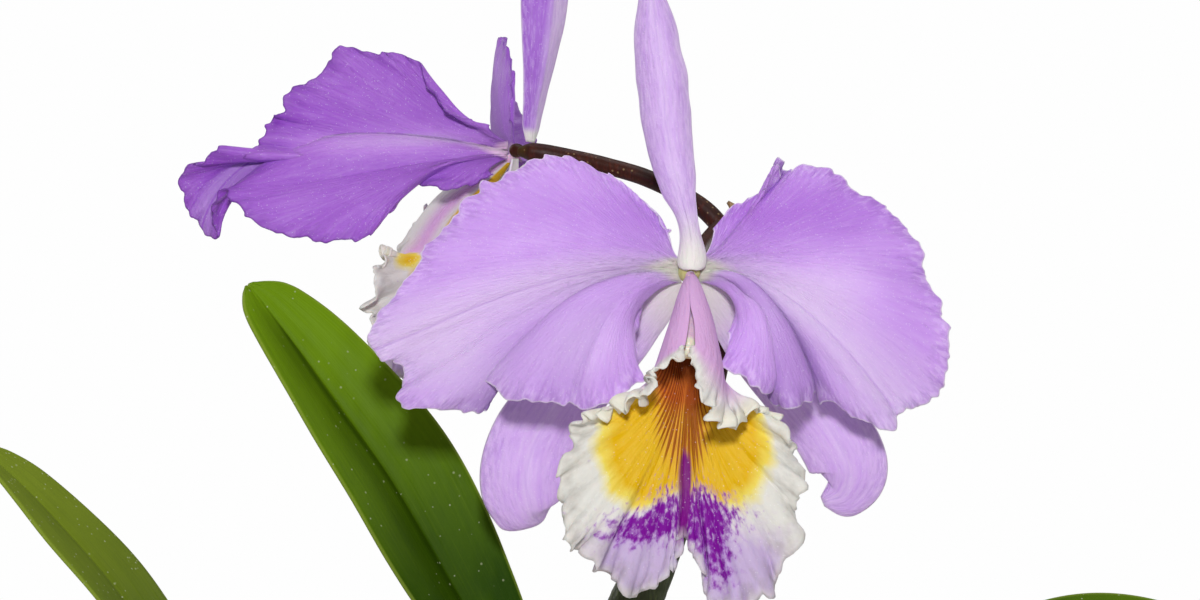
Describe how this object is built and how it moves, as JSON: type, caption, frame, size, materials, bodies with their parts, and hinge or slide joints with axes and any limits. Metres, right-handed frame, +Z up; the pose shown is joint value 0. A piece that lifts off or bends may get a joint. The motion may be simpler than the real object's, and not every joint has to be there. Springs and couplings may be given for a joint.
{
  "type": "potted cattleya orchid",
  "caption": "Cattleya orchid in flower: lilac ruffled blooms with a yellow lip on a forked stem, leafy pseudobulbs in bark and a round terracotta pot.",
  "frame": {"origin": "centre of the pot's underside, where the pot rests", "axes": "+Z up along the pot's axis, -Y the way the open front bloom looks, +X to that bloom's right as it is seen from the front"},
  "size_m": [0.3835, 0.2233, 0.5095],
  "materials": {
    "petal": "satin",
    "sepal": "satin",
    "lip": "satin",
    "column": "satin",
    "stem": "satin",
    "sheath": "satin",
    "bract": "matte",
    "leaf": "satin",
    "pseudobulb": "satin",
    "rhizome": "matte",
    "root": "matte",
    "bark": "matte",
    "terracotta": "matte"
  },
  "bodies": {
    "root": {"front_petal_left": "petal", "front_petal_right": "petal", "back_petal_near": "petal", "back_petal_far": "petal", "front_sepal_top": "sepal", "front_sepal_left": "sepal", "front_sepal_right": "sepal", "back_sepal_top": "sepal", "back_sepal_near": "sepal", "back_sepal_far": "sepal", "front_lip": "lip", "back_lip": "lip", "front_column": "column", "back_column": "column", "peduncle": "stem", "pedicel_front": "stem", "pedicel_back": "stem", "sheath": "sheath", "bract": "bract", "leaf_1": "leaf", "leaf_2": "leaf", "leaf_3": "leaf", "leaf_4": "leaf", "pseudobulb_1": "pseudobulb", "pseudobulb_2": "pseudobulb", "pseudobulb_3": "pseudobulb", "pseudobulb_4": "pseudobulb", "pseudobulb_5": "pseudobulb", "rhizome": "rhizome", "root_1": "root", "root_2": "root", "root_3": "root", "root_4": "root", "root_5": "root", "bark": "bark", "pot": "terracotta"}
  },
  "joints": []
}
